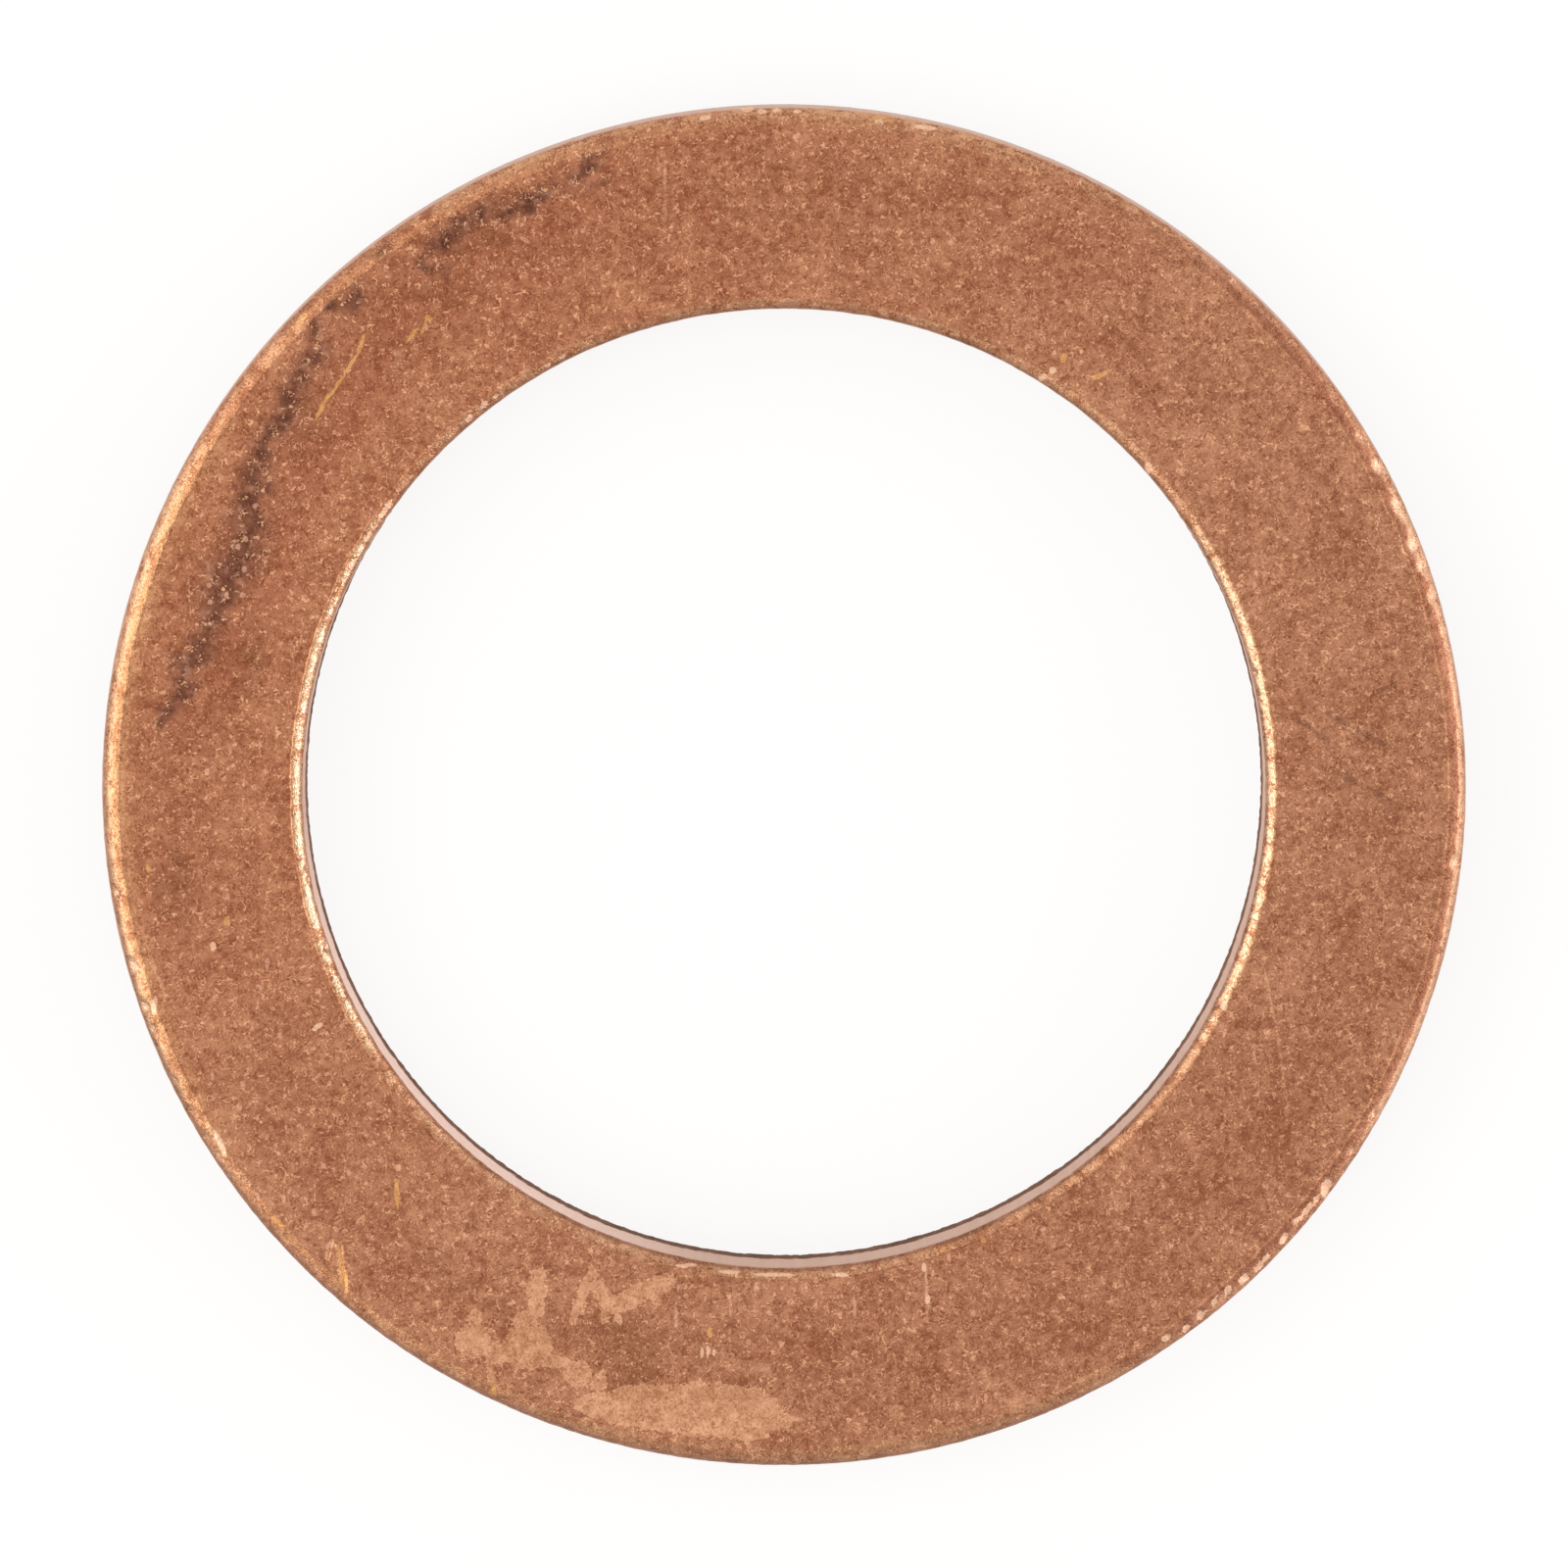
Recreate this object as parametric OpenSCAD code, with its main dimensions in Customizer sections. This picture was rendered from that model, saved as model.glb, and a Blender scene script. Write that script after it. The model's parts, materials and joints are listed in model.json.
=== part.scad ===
// Flat copper sealing ring for the drain plug of an engine's oil pan
// One ring, blanked from strip in one stroke of a compound die, so that both
// walls have the same four zones from the upper face down: a die roll, a
// burnished land, a torn band, and a small edge rounded by tumbling. The torn
// band leans in under the outer land and closes in a little under the bore's.
// The ring has been handled and carries a few dents in its outer edge and one
// gouge. The lower face lies on Z = 0, and Z is the axis.

/* [Ring] */
// Diameter of the bore, which clears the thread of the plug
bore_d = 14.1; // [11.7:0.05:17]
// Outside diameter, which matches the flange of the plug
outer_d = 20; // [18.5:0.1:24]
// Thickness of the strip
thickness = 1.5; // [1.2:0.05:2.4]

/* [Outer edge] */
// Radius of the die roll round the outside of the upper face
outer_roll = 0.3; // [0.15:0.01:0.35]
// How far the torn band leans in below the land
outer_break = 0.04; // [0.01:0.01:0.08]

/* [Bore edge] */
// Radius of the die roll round the bore at the upper face
bore_roll = 0.2; // [0.05:0.01:0.3]
// How far the torn band closes in below the land, to a burr turned in by tumbling
bore_burr = 0.03; // [0.01:0.01:0.05]

/* [Lower edges] */
// Height of the torn band, measured up from the lower face
tear_h = 0.35; // [0.2:0.01:0.6]
// Radius of the tumbled edges of the lower face
tumbled_r = 0.06; // [0.02:0.01:0.12]

/* [Handling marks] */
// Direction of the gouge, counted anticlockwise from +X
gouge_angle = 227; // [0:1:359]
// How far the gouge runs in from the outside
gouge_length = 0.7; // [0.3:0.05:1.2]
// Depth of the gouge where it leaves the face
gouge_depth = 0.03; // [0.01:0.01:0.06]
// Radius of the hard corner that ploughed the gouge
gouge_r = 0.3; // [0.15:0.05:0.6]

/* [Hidden] */
$fn = 144;

bore_r = bore_d / 2;
outer_r = outer_d / 2;
// How far a cutting shape reaches past the metal that it cuts
past = 0.05;
// How much larger a rounding's circle is than a true tangent one, so that it
// meets each neighbour in one clean line
crossing = 0.0001;

// Dents struck into the outer die roll: direction, radius of the corner that
// struck there, and depth
dents = [
    [21, 0.4, 0.03],
    [25, 0.5, 0.04],
    [194, 0.5, 0.05],
    [198.5, 0.4, 0.04],
    [318, 0.4, 0.03],
    [321, 0.35, 0.03],
    [323.5, 0.5, 0.05],
    [327.5, 0.4, 0.03],
    [331, 0.5, 0.04]
];

// Length of a vector in the plane
function len2(v) = sqrt(v[0] * v[0] + v[1] * v[1]);
// The same direction with a length of 1
function unit(v) = v / len2(v);

// What a rounding of radius r takes off a corner. The two neighbours are
// points on the edges that meet there.
module corner_waste(corner, neighbour_a, neighbour_b, r) {
    along_a = unit(neighbour_a - corner);
    along_b = unit(neighbour_b - corner);
    middle = unit(along_a + along_b);
    half_cos = along_a * middle;
    half_sin = sqrt(1 - half_cos * half_cos);
    centre = corner + middle * r / half_sin;
    touch_a = corner + along_a * r * half_cos / half_sin;
    touch_b = corner + along_b * r * half_cos / half_sin;
    reach = 1 + past / r;
    difference() {
        polygon([
            centre,
            centre + (touch_a - centre) * reach,
            corner - middle * past * 2,
            centre + (touch_b - centre) * reach
        ]);
        translate(centre) circle(r + crossing);
    }
}

// Half section of the ring, with the radius along X and the height along Y
module ring_section() {
    bore_foot = [bore_r - bore_burr, 0];
    bore_land = [bore_r, tear_h];
    bore_top = [bore_r, thickness];
    outer_top = [outer_r, thickness];
    outer_land = [outer_r, tear_h];
    outer_foot = [outer_r - outer_break, 0];
    difference() {
        polygon([bore_foot, outer_foot, outer_land, outer_top, bore_top, bore_land]);
        corner_waste(bore_top, bore_land, outer_top, bore_roll);
        corner_waste(outer_top, bore_top, outer_land, outer_roll);
        corner_waste(outer_foot, outer_land, bore_foot, tumbled_r);
        corner_waste(bore_foot, outer_foot, bore_land, tumbled_r);
    }
}

// The ball that strikes a dent into the middle of the outer die roll
module dent_waste(angle, ball_r, depth) {
    off_centre = (outer_roll + ball_r - depth) * cos(45);
    rotate(angle)
        translate([outer_r - outer_roll + off_centre, 0, thickness - outer_roll + off_centre])
            sphere(ball_r);
}

// The track of the corner that ploughed out over the upper face and the edge
module gouge_waste() {
    fall = atan(gouge_depth / gouge_length);
    rotate(gouge_angle)
        translate([outer_r - gouge_length, 0, thickness + gouge_r])
            rotate([0, 90 + fall, 0])
                cylinder(r = gouge_r, h = gouge_length + gouge_r);
}

module sealing_ring() {
    color("#b0765a")
        difference() {
            rotate_extrude() ring_section();
            for (dent = dents) dent_waste(dent[0], dent[1], dent[2]);
            gouge_waste();
        }
}

sealing_ring();
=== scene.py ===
import json
import math

import bmesh
import bpy
import numpy as np
from mathutils import Matrix, Vector, noise as turbulence
from mathutils.kdtree import KDTree


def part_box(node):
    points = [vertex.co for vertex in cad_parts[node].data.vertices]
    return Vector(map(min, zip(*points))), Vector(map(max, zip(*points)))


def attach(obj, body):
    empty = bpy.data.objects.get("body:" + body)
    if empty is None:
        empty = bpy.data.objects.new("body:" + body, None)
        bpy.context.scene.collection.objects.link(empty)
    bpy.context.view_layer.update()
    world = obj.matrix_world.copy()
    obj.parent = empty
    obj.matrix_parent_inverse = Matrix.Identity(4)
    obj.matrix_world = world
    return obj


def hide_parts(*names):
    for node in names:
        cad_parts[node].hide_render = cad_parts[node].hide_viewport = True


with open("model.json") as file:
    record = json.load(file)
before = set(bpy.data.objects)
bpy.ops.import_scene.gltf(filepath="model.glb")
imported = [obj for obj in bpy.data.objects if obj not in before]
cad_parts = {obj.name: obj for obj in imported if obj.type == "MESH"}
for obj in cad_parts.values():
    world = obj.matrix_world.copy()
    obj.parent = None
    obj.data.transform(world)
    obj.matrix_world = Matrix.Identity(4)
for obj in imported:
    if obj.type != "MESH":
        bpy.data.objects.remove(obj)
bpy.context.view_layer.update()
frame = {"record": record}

# Copper sealing ring of a drain plug, seen nearly straight down on its upper face.
# The ring is modelled in millimetres and brought down to metres at the end.
mm = 0.001

plugBore = next(mount for mount in frame["record"]["mounts"] if mount["name"] == "plug_bore")
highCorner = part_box("sealing_ring")[1]
boreRadius = plugBore["dims"]["r_mm"]
outerRadius = highCorner.x / mm
thickness = highCorner.z / mm

# The camera as measured from the photo, which leans back a little from straight above
view = {
    "tilt": 5.16,                # degrees off the vertical
    "towards": 89.8,             # direction that the camera leans to
    "distance": 220,             # millimetres from the upper face
    "frame": 22.966,             # millimetres of the upper face across the picture
    "aim": (0, 0.095),           # what lies in the middle of the picture
    "sensor": 36,                # millimetres
    "clip": 0.01,                # metres
    "centre": (800.0, 806.6),    # the ring's middle in the photo, in pixels
    "pixels": (69.67, 69.39),    # photo pixels per millimetre, across and up
}


def onFace(pixelX, pixelY, height=0):
    # Where a photo pixel lies on the upper face, in millimetres
    across, up = view["pixels"]
    centreX, centreY = view["centre"]
    return Vector(((pixelX - centreX) / across, (centreY - pixelY) / up, height))


def deselectAll():
    if bpy.context.object and bpy.context.object.mode != "OBJECT":
        bpy.ops.object.mode_set(mode="OBJECT")
    bpy.ops.object.select_all(action="DESELECT")


def pick(piece, kind, test):
    # kind is VERT, EDGE or FACE; a face is tested by its middle, an edge by both its ends
    bpy.ops.mesh.select_mode(type=kind)
    bpy.ops.mesh.select_all(action="DESELECT")
    mesh = bmesh.from_edit_mesh(piece.data)
    if kind == "VERT":
        for vert in mesh.verts:
            vert.select_set(test(vert.co))
    elif kind == "EDGE":
        for edge in mesh.edges:
            edge.select_set(test(edge.verts[0].co) and test(edge.verts[1].co))
    else:
        for face in mesh.faces:
            face.select_set(test(face.calc_center_median()))
    bmesh.update_edit_mesh(piece.data)


def near(value, target, slack=1e-4):
    return abs(value - target) < slack


def onRing(angle, radius, height=0):
    turn = math.radians(angle)
    return Vector((radius * math.cos(turn), radius * math.sin(turn), height))


# The ring's own shape, in millimetres
ring = {
    "name": "copperRing",
    "steps": 1280,          # steps of the full turn
    "outerRoll": 0.3,       # die roll round the outside of the upper face
    "boreRoll": 0.2,        # die roll round the bore
    "tumbled": 0.06,        # rounding of the lower edges
    "tearHeight": 0.35,     # height of the torn band
    "outerBreak": 0.04,     # how far the torn band leans in
    "boreBurr": 0.03,       # how far it closes in at the foot of the bore
    "outerSegments": 12,    # steps of each rounding
    "boreSegments": 9,
    "tumbledSegments": 3,
    "faceCuts": 22,
    "undersideCuts": 3,
    "landCuts": 3,
    "tornCuts": 3,
    "smoothAngle": 40,      # in degrees
    "weld": 0.001,
    "upperZone": 0.35,      # how far down from the upper face its marks reach
}


def drawSection():
    # Half section in the XZ plane, each wall split at the tear line
    deselectAll()
    middle = ((boreRadius + outerRadius) / 2, 0, thickness / 2)
    bpy.ops.mesh.primitive_plane_add(size=1, location=middle, rotation=(math.pi / 2, 0, 0))
    piece = bpy.context.object
    piece.name = piece.data.name = ring["name"]
    piece.scale = (outerRadius - boreRadius, thickness, 1)
    bpy.ops.object.transform_apply(location=True, rotation=True, scale=True)
    bpy.ops.object.mode_set(mode="EDIT")
    bpy.ops.mesh.select_all(action="SELECT")
    bpy.ops.mesh.bisect(plane_co=(0, 0, ring["tearHeight"]), plane_no=(0, 0, 1))
    bpy.ops.mesh.select_all(action="SELECT")
    bpy.ops.mesh.delete(type="ONLY_FACE")
    pick(piece, "EDGE", lambda place: near(place.z, ring["tearHeight"]))
    bpy.ops.mesh.delete(type="EDGE")
    for wall, inset in ((outerRadius, ring["outerBreak"]), (boreRadius, ring["boreBurr"])):
        pick(piece, "VERT", lambda place: near(place.x, wall) and near(place.z, 0))
        bpy.ops.transform.translate(value=(-inset, 0, 0))
    return piece


def roundCorner(piece, wall, level, radius, segments):
    pick(piece, "VERT", lambda place: near(place.x, wall) and near(place.z, level))
    bpy.ops.mesh.bevel(offset=radius, offset_type="OFFSET", segments=segments, affect="VERTICES")


def cutEdges(piece, test, cuts):
    pick(piece, "EDGE", test)
    bpy.ops.mesh.subdivide(number_cuts=cuts)


def shapeSection(piece):
    outerFoot = outerRadius - ring["outerBreak"]
    boreFoot = boreRadius - ring["boreBurr"]
    roundCorner(piece, outerRadius, thickness, ring["outerRoll"], ring["outerSegments"])
    roundCorner(piece, boreRadius, thickness, ring["boreRoll"], ring["boreSegments"])
    roundCorner(piece, outerFoot, 0, ring["tumbled"], ring["tumbledSegments"])
    roundCorner(piece, boreFoot, 0, ring["tumbled"], ring["tumbledSegments"])
    cutEdges(piece, lambda place: near(place.z, thickness), ring["faceCuts"])
    cutEdges(piece, lambda place: near(place.z, 0), ring["undersideCuts"])
    cutEdges(piece, lambda place: near(place.x, outerRadius), ring["landCuts"])
    cutEdges(piece, lambda place: near(place.x, boreRadius), ring["landCuts"])
    tornTop = ring["tearHeight"] + 1e-3
    tornFoot = ring["tumbled"] * 0.8
    cutEdges(piece, lambda place: place.x > outerFoot - 0.01 and tornFoot < place.z < tornTop,
             ring["tornCuts"])
    cutEdges(piece, lambda place: place.x < boreRadius + 0.01 and tornFoot < place.z < tornTop,
             ring["tornCuts"])


def turnRing(piece):
    bpy.ops.object.mode_set(mode="OBJECT")
    turn = piece.modifiers.new("turn", "SCREW")
    turn.axis = "Z"
    turn.angle = 2 * math.pi
    turn.steps = turn.render_steps = ring["steps"]
    turn.use_merge_vertices = True
    turn.merge_threshold = ring["weld"]
    bpy.ops.object.modifier_apply(modifier="turn")
    bpy.ops.object.mode_set(mode="EDIT")
    bpy.ops.mesh.select_mode(type="VERT")
    bpy.ops.mesh.select_all(action="SELECT")
    bpy.ops.mesh.remove_doubles(threshold=ring["weld"])
    bpy.ops.mesh.normals_make_consistent(inside=False)
    bpy.ops.object.mode_set(mode="OBJECT")


print("stage: section and full turn")
copperRing = drawSection()
shapeSection(copperRing)
turnRing(copperRing)


# Unevenness from tumbling: soft waves in the rolled edges, rough tearing at the foot of the walls
unevenness = {
    "edges": {"size": 0.16, "depth": 0.014},
    "torn": {"size": 0.09, "depth": 0.03},
}
rollShare = 0.85        # how much of a die roll is uneven
tornMargin = 0.02       # what stays even above and below the tearing


def makeUneven(piece, label, size, depth, test):
    group = piece.vertex_groups.new(name=label)
    group.add([vert.index for vert in piece.data.vertices if test(vert.co)], 1, "REPLACE")
    clouds = bpy.data.textures.new(label, "CLOUDS")
    clouds.noise_scale = size
    clouds.noise_depth = 2
    waves = piece.modifiers.new(label, "DISPLACE")
    waves.texture = clouds
    waves.texture_coords = "LOCAL"
    waves.vertex_group = label
    waves.strength = depth
    waves.mid_level = 0.5
    bpy.ops.object.modifier_apply(modifier=label)


def onEdges(place):
    radius = math.hypot(place.x, place.y)
    outward = radius > outerRadius - rollShare * ring["outerRoll"]
    inward = radius < boreRadius + rollShare * ring["boreRoll"]
    return (outward or inward) and place.z > ring["tearHeight"]


def onTornBand(place):
    return tornMargin < place.z < ring["tearHeight"] - tornMargin


print("stage: unevenness")
makeUneven(copperRing, "edges", test=onEdges, **unevenness["edges"])
makeUneven(copperRing, "torn", test=onTornBand, **unevenness["torn"])


# Dents struck into the outer roll: photo pixel, size and depth in millimetres
dents = [
    (1361, 403, 0.12, 0.025), (1366, 409, 0.1, 0.02), (1391, 445, 0.15, 0.03), (1408, 476, 0.18, 0.04),
    (1428, 516, 0.2, 0.04), (1432, 526, 0.14, 0.03), (1447, 556, 0.2, 0.045), (1454, 577, 0.17, 0.035),
    (1462, 611, 0.15, 0.03), (1355, 1213, 0.2, 0.055), (1344, 1225, 0.13, 0.03),
    (1335, 1239, 0.17, 0.035), (1312, 1266, 0.15, 0.035), (1285, 1294, 0.13, 0.025),
    (1272, 1306, 0.15, 0.03), (1253, 1322, 0.13, 0.03), (1240, 1333, 0.12, 0.025),
    (1226, 1344, 0.16, 0.035), (1213, 1357, 0.12, 0.025), (1194, 1365, 0.12, 0.02),
    (1388, 1180, 0.14, 0.035), (1409, 1144, 0.14, 0.035), (1491, 880, 0.16, 0.04),
    (219, 1157, 0.14, 0.03), (226, 1176, 0.13, 0.03), (243, 1196, 0.12, 0.02), (157, 1026, 0.16, 0.045),
    (163, 1049, 0.15, 0.03), (140, 985, 0.22, 0.04), (185, 1099, 0.12, 0.025), (201, 1131, 0.1, 0.02),
    (121, 912, 0.16, 0.03), (780, 114, 0.14, 0.02), (818, 114, 0.12, 0.02), (900, 119, 0.2, 0.03),
    (948, 128, 0.16, 0.025), (1102, 183, 0.14, 0.025), (1162, 222, 0.12, 0.02),
]

# The same in the edge of the bore
boreDents = [
    (318, 884, 0.06, 0.03), (322, 897, 0.06, 0.03), (339, 967, 0.09, 0.035), (330, 668, 0.08, 0.02),
    (1272, 690, 0.1, 0.025), (1246, 1026, 0.12, 0.035), (1196, 1105, 0.08, 0.02),
    (1058, 1216, 0.12, 0.03), (1130, 1176, 0.07, 0.02), (488, 417, 0.08, 0.02), (1086, 372, 0.08, 0.02),
    (1171, 470, 0.08, 0.02), (851, 1299, 0.08, 0.02), (690, 1290, 0.07, 0.02),
]

# Gouges ploughed over the face: photo pixels of both ends, width and depth in millimetres
gouges = [
    ((345, 1272), (351, 1319), 0.11, 0.016),
    ((338, 1266), (333, 1287), 0.05, 0.01),
]

# How a blow lands: how far it lies from each wall and under the face, and how it slants
blow = {"fromOuter": 0.08, "fromBore": 0.05, "down": 0.07, "slant": 0.7}

# How a gouge is ploughed: the pitch of its pushes and their reach in widths, their depth at the
# start and how much that grows, in depths
plough = {"pitch": 0.25, "reach": 0.62, "startShare": 0.25, "growth": 0.3}


def openGouge(piece, start, end, width):
    # A finer mesh where the gouge runs
    reach = (end - start).length / 2 + width
    middle = (start + end) / 2
    pick(piece, "FACE", lambda place: (place - middle).length < reach)
    bpy.ops.mesh.subdivide(number_cuts=3)


def plantTree(piece):
    # For finding the vertex nearest to a place
    tree = KDTree(len(piece.data.vertices))
    for vert in piece.data.vertices:
        tree.insert(vert.co, vert.index)
    tree.balance()
    return tree


def pressIn(piece, nearest, place, push, size):
    # Moves the vertex nearest to the place, and its neighbours with it
    mesh = bmesh.from_edit_mesh(piece.data)
    mesh.verts.ensure_lookup_table()
    bpy.ops.mesh.select_all(action="DESELECT")
    mesh.verts[nearest.find(place)[1]].select_set(True)
    bmesh.update_edit_mesh(piece.data)
    bpy.ops.transform.translate(value=push, use_proportional_edit=True,
                                proportional_edit_falloff="SMOOTH", proportional_size=size)


def dentEdge(piece, nearest, pixel, radius, inward, size, depth):
    place = onFace(*pixel)
    angle = math.degrees(math.atan2(place.y, place.x))
    push = onRing(angle, inward * depth, -depth) * blow["slant"]
    pressIn(piece, nearest, onRing(angle, radius, thickness - blow["down"]), push, size)


def ploughGouge(piece, nearest, start, end, width, depth):
    along = end - start
    steps = max(2, round(along.length / (width * plough["pitch"])))
    for index in range(steps + 1):
        share = index / steps
        push = (0, 0, -depth * (plough["startShare"] + plough["growth"] * share))
        pressIn(piece, nearest, start + along * share, push, width * plough["reach"])


def markPressed(piece, before):
    # How far each vertex was pushed, for the colour of the bare metal there
    pressed = piece.data.attributes.new("pressed", "FLOAT", "POINT")
    for vert, start, item in zip(piece.data.vertices, before, pressed.data):
        item.value = (vert.co - start).length


print("stage: dents and gouges")
tracks = [(onFace(*start, thickness), onFace(*end, thickness), width, depth)
          for start, end, width, depth in gouges]
bpy.ops.object.mode_set(mode="EDIT")
for start, end, width, depth in tracks:
    openGouge(copperRing, start, end, width)
bpy.ops.object.mode_set(mode="OBJECT")
unpressed = [vert.co.copy() for vert in copperRing.data.vertices]
nearest = plantTree(copperRing)
bpy.ops.object.mode_set(mode="EDIT")
bpy.ops.mesh.select_mode(type="VERT")
for pixelX, pixelY, size, depth in dents:
    dentEdge(copperRing, nearest, (pixelX, pixelY), outerRadius - blow["fromOuter"], -1, size, depth)
for pixelX, pixelY, size, depth in boreDents:
    dentEdge(copperRing, nearest, (pixelX, pixelY), boreRadius + blow["fromBore"], 1, size, depth)
for track in tracks:
    ploughGouge(copperRing, nearest, *track)
bpy.ops.object.mode_set(mode="OBJECT")
markPressed(copperRing, unpressed)

# Marks on the upper face, in photo pixels: from, to and width
streak = [
    (611, 164, 584, 189, 16), (619, 185, 608, 193, 9), (562, 194, 522, 219, 18),
    (540, 208, 500, 222, 12), (500, 214, 460, 240, 22), (470, 236, 438, 260, 20),
    (435, 276, 436, 277, 14), (455, 278, 456, 279, 12), (393, 256, 388, 260, 12),
    (366, 300, 354, 314, 20), (342, 313, 338, 316, 15), (324, 332, 320, 342, 17),
    (330, 358, 314, 374, 20), (312, 376, 298, 400, 23), (298, 396, 291, 428, 20),
    (292, 424, 284, 438, 26), (282, 434, 267, 454, 20), (269, 450, 268, 470, 22),
    (268, 468, 253, 496, 22), (274, 496, 266, 502, 15), (262, 498, 246, 524, 26),
    (252, 514, 262, 538, 26), (258, 530, 245, 572, 24), (250, 566, 228, 596, 42),
    (234, 588, 218, 628, 28), (220, 622, 212, 650, 24), (214, 644, 203, 672, 26),
    (204, 668, 186, 678, 20), (190, 674, 183, 702, 17), (197, 698, 195, 702, 12),
    (188, 700, 183, 716, 15), (182, 712, 167, 730, 13), (170, 726, 164, 740, 12),
]

# The darkest places in the streak
sootSpots = [
    (558, 199, 552, 203, 14), (543, 212, 538, 216, 14), (604, 171, 594, 180, 10),
    (292, 426, 290, 436, 17), (268, 450, 270, 462, 13), (257, 488, 254, 496, 12),
    (260, 526, 258, 540, 15), (242, 576, 234, 590, 22), (206, 662, 203, 672, 15),
    (216, 632, 214, 646, 12), (250, 516, 246, 522, 13), (300, 394, 298, 404, 11),
    (359, 306, 356, 312, 11), (190, 676, 186, 696, 8), (391, 257, 390, 259, 9), (328, 362, 320, 368, 10),
]

# Dull spots
smudges = [
    (180, 880, 178, 930, 46), (325, 1158, 326, 1159, 16), (636, 1366, 640, 1392, 74),
    (1435, 1040, 1436, 1041, 12), (872, 199, 874, 200, 22), (1486, 889, 1486, 893, 10),
    (250, 700, 262, 640, 40), (470, 262, 520, 236, 36), (322, 400, 300, 470, 34),
    (420, 300, 470, 300, 30), (1228, 640, 1232, 700, 26),
]

# The patch where the oxide is worn off
wornPatch = [
    (481, 1361, 482, 1380, 33), (484, 1345, 484, 1347, 14), (530, 1351, 540, 1351, 22),
    (532, 1375, 542, 1376, 46), (500, 1382, 510, 1383, 22), (548, 1302, 549, 1306, 14),
    (546, 1314, 547, 1322, 21), (547, 1326, 547, 1340, 15), (499, 1398, 501, 1414, 8),
    (548, 1390, 575, 1392, 13), (589, 1402, 589, 1406, 26), (607, 1413, 614, 1413, 17),
    (603, 1296, 606, 1302, 6), (600, 1306, 592, 1328, 10), (592, 1326, 584, 1348, 9),
    (603, 1312, 614, 1320, 11), (614, 1318, 620, 1336, 14), (616, 1340, 615, 1350, 6),
    (622, 1334, 645, 1328, 17), (646, 1323, 678, 1311, 20), (629, 1345, 631, 1349, 7),
    (602, 1436, 640, 1440, 26), (632, 1438, 706, 1438, 42), (688, 1440, 768, 1444, 52),
    (640, 1448, 702, 1458, 18), (700, 1454, 768, 1464, 20), (772, 1461, 806, 1452, 10),
    (797, 1453, 804, 1452, 15), (759, 1462, 767, 1490, 5),
]

# Places rubbed thin
rubMarks = [
    (287, 356, 272, 368, 22), (413, 358, 403, 380, 14), (1020, 1428, 1054, 1434, 26),
    (1004, 1401, 1010, 1402, 20), (918, 1441, 924, 1441, 16), (873, 1459, 878, 1459, 14),
    (180, 784, 184, 814, 8), (1372, 748, 1373, 748, 12), (560, 1310, 562, 1330, 12),
    (730, 1396, 790, 1402, 18), (310, 330, 304, 342, 10),
]

# Scratches and specks by their tone: yellow, faint, pale, dark and bare metal
yellowMarks = [
    (724, 1358, 724, 1366, 5), (884, 123, 910, 126, 5), (373, 343, 366, 362, 5), (368, 358, 350, 388, 4),
    (352, 384, 334, 410, 4), (337, 402, 323, 430, 5), (313, 323, 306, 330, 6), (438, 325, 438, 327, 7),
    (403, 1203, 405, 1234, 5), (344, 1275, 347, 1294, 5), (347, 1292, 351, 1318, 9),
    (502, 1419, 503, 1424, 7), (284, 1248, 285, 1252, 6), (278, 1245, 280, 1248, 6),
    (185, 1098, 186, 1101, 6), (232, 937, 229, 942, 6), (150, 884, 151, 888, 6),
    (1004, 1265, 1004, 1268, 6), (964, 1275, 962, 1278, 5), (1085, 364, 1084, 369, 7),
    (1093, 402, 1093, 405, 6), (1115, 387, 1127, 381, 6), (438, 324, 431, 342, 4),
    (428, 336, 416, 350, 4), (1141, 1161, 1142, 1164, 7), (1095, 1200, 1096, 1204, 6),
    (884, 119, 914, 121, 6),
]
faintMarks = [
    (145, 949, 149, 967, 4), (149, 963, 160, 1000, 4), (160, 997, 168, 1015, 4),
    (1291, 990, 1297, 1022, 4), (1296, 1016, 1304, 1050, 4), (1303, 1044, 1309, 1090, 4),
    (1308, 1084, 1314, 1126, 4), (1314, 1118, 1314, 1152, 4), (1286, 556, 1288, 580, 4),
    (1288, 576, 1290, 598, 4), (679, 166, 679, 200, 4), (679, 196, 679, 242, 4), (988, 170, 988, 189, 4),
]
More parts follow.
